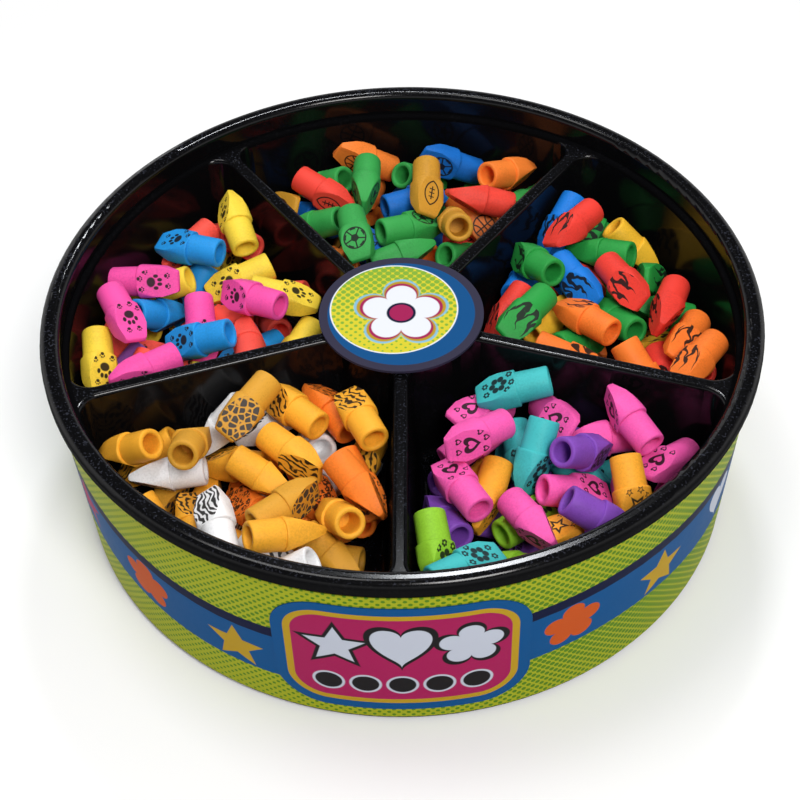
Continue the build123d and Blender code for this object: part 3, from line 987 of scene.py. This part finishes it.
def add_camera():
    """Camera at the photograph's viewing angle, aimed so that the rim's centre falls where it does there."""
    lift, swing, roll = (math.radians(v) for v in (CAMERA_ELEVATION, CAMERA_AZIMUTH, CAMERA_ROLL))
    back = Vector((math.sin(swing) * math.cos(lift), -math.cos(swing) * math.cos(lift), math.sin(lift)))
    right = Vector((math.cos(swing), math.sin(swing), 0))
    up = back.cross(right)
    right, up = right * math.cos(roll) + up * math.sin(roll), up * math.cos(roll) - right * math.sin(roll)
    half = IMAGE_PIXELS / 2
    aside = (half - RIM_CENTRE_PIXEL[0]) / FOCAL_PIXELS
    below = (half - RIM_CENTRE_PIXEL[1]) / FOCAL_PIXELS
    place = RIM_CENTRE + back * CAMERA_REACH
    back = (back - right * aside + up * below).normalized()
    right = (right - back * right.dot(back)).normalized()
    up = back.cross(right)
    data = bpy.data.cameras.new("camera")
    data.sensor_width = SENSOR_WIDTH
    data.lens = FOCAL_PIXELS * SENSOR_WIDTH / IMAGE_PIXELS
    data.clip_start = CLIP_START
    camera = bpy.data.objects.new("camera", data)
    turn = Matrix((right, up, back)).transposed().to_4x4()
    camera.matrix_world = Matrix.Translation(place) @ turn
    bpy.context.scene.collection.objects.link(camera)
    bpy.context.scene.camera = camera


def add_softbox(name, place, aim, width, height, power, colour):
    data = bpy.data.lights.new(name, "AREA")
    data.shape = "RECTANGLE"
    data.size = width
    data.size_y = height
    data.energy = power
    data.color = colour
    light = bpy.data.objects.new(name, data)
    direction = Vector(place) - Vector(aim)
    light.matrix_world = Matrix.Translation(place) @ direction.to_track_quat("Z", "Y").to_matrix().to_4x4()
    bpy.context.scene.collection.objects.link(light)


def room_brightness(tree):
    """White walls all round, well above eye level, under a dark ceiling."""
    split = tree.nodes.new("ShaderNodeSeparateXYZ")
    tree.links.new(tree.nodes.new("ShaderNodeTexCoord").outputs["Generated"], split.inputs[0])
    walls = Term(tree, split.outputs["Z"]).below(WALL_TOP, WALL_SOFT)
    return walls * (1.0 - CEILING) + CEILING


def seen(tree):
    """Mask of what the camera sees, also in mirrors and through glass."""
    path = tree.nodes.new("ShaderNodeLightPath")
    mask = Term(tree, path.outputs["Is Camera Ray"]).either(Term(tree, path.outputs["Is Glossy Ray"]))
    return mask.either(Term(tree, path.outputs["Is Transmission Ray"]))


def shader_mix(tree, mask, under, over):
    """Shader socket: over where the mask is 1, under elsewhere."""
    mix = tree.nodes.new("ShaderNodeMixShader")
    for place, socket in enumerate((mask.socket, under, over)):
        tree.links.new(socket, mix.inputs[place])
    return mix.outputs[0]


def add_stage():
    """White room, softboxes, and a pale floor that keeps the tub's shadow."""
    world = bpy.data.worlds.new("studio")
    bpy.context.scene.world = world
    world.use_nodes = True
    tree = world.node_tree
    soft = tree.nodes["Background"]
    soft.inputs["Color"].default_value = SKY_LIGHT
    soft.inputs["Strength"].default_value = SKY_STRENGTH
    room = tree.nodes.new("ShaderNodeBackground")
    room.inputs["Color"].default_value = WHITE
    tree.links.new(room_brightness(tree).socket, room.inputs["Strength"])
    shown = shader_mix(tree, seen(tree), soft.outputs[0], room.outputs[0])
    tree.links.new(shown, tree.nodes["World Output"].inputs["Surface"])
    mesh = bpy.data.meshes.new("floor")
    corners = [(a * FLOOR_REACH, b * FLOOR_REACH, 0) for a, b in ((-1, -1), (1, -1), (1, 1), (-1, 1))]
    mesh.from_pydata(corners, [], [(0, 1, 2, 3)])
    floor = bpy.data.objects.new("floor", mesh)
    floor.location.z = -FLOOR_DROP
    material, tree, shader = new_material("floor_white", roughness=0.9, specular=0.1)
    shader.inputs["Base Color"].default_value = FLOOR_WHITE
    x, y, z = object_place(tree)
    far = (reach(x, y) * -1.0).below(-FLOOR_FADE, FLOOR_SOFT)
    white = tree.nodes.new("ShaderNodeEmission")
    white.inputs["Color"].default_value = WHITE
    shown = shader_mix(tree, seen(tree).both(far), shader.outputs[0], white.outputs[0])
    tree.links.new(shown, tree.nodes["Material Output"].inputs["Surface"])
    mesh.materials.append(material)
    bpy.context.scene.collection.objects.link(floor)
    for name, setting in SOFTBOXES.items():
        add_softbox(name, *setting)


def node_colour(node):
    """Pocket and colour of a topper node from its name."""
    pocket = next(name for name in CAPS if node.startswith(name + "_"))
    rest = node[len(pocket) + 1 :].replace("loose_", "")
    return pocket, rest.split("_topper")[0]


def dress(node, material):
    frame["nodes"][node].data.materials.clear()
    frame["nodes"][node].data.materials.append(material)


bpy.context.scene.view_settings.view_transform = "Standard"
HANDLING = grain_group()
HALFTONE = halftone_group()
print_trees = {name: print_group(name, draw) for name, draw in PRINTS.items()}

add_camera()
add_stage()

dress("drum", black_plastic("drum_plastic", DRUM_BLACK, roughness=0.25, specular=0.03))
dress("tray", black_plastic("tray_plastic", TRAY_BLACK, roughness=0.4, specular=0.0, polished=True))
dress("wrap_label", wrap_material())
dress("front_badge", badge_material(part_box("front_badge")))
dress("hub_label", hub_material())

heap = heap_tree()
pattern = bpy.data.objects.new("topper_pattern", topper_mesh())
bpy.context.scene.collection.objects.link(pattern)
chance = random.Random(PRINT_SEED)
bodies = frame["record"]["behaviour"]["bodies"]
body_of_node = {node: body for body, nodes in bodies.items() for node in nodes}
rubbers = {}
for node in sorted(name for name in frame["nodes"] if "_topper" in name):
    pocket, colour = node_colour(node)
    if (pocket, colour) not in rubbers:
        paint, figure, ink = CAPS[pocket][colour]
        rubbers[pocket, colour] = cap_material(f"{pocket}_{colour}_rubber", paint, print_trees[figure], ink)
    places = topper_places(frame["nodes"][node])
    piece = heap_piece(node + "_printed", places, heap, pattern, rubbers[pocket, colour], chance)
    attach(piece, body_of_node[node])
    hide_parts(node)
bpy.data.objects.remove(pattern)
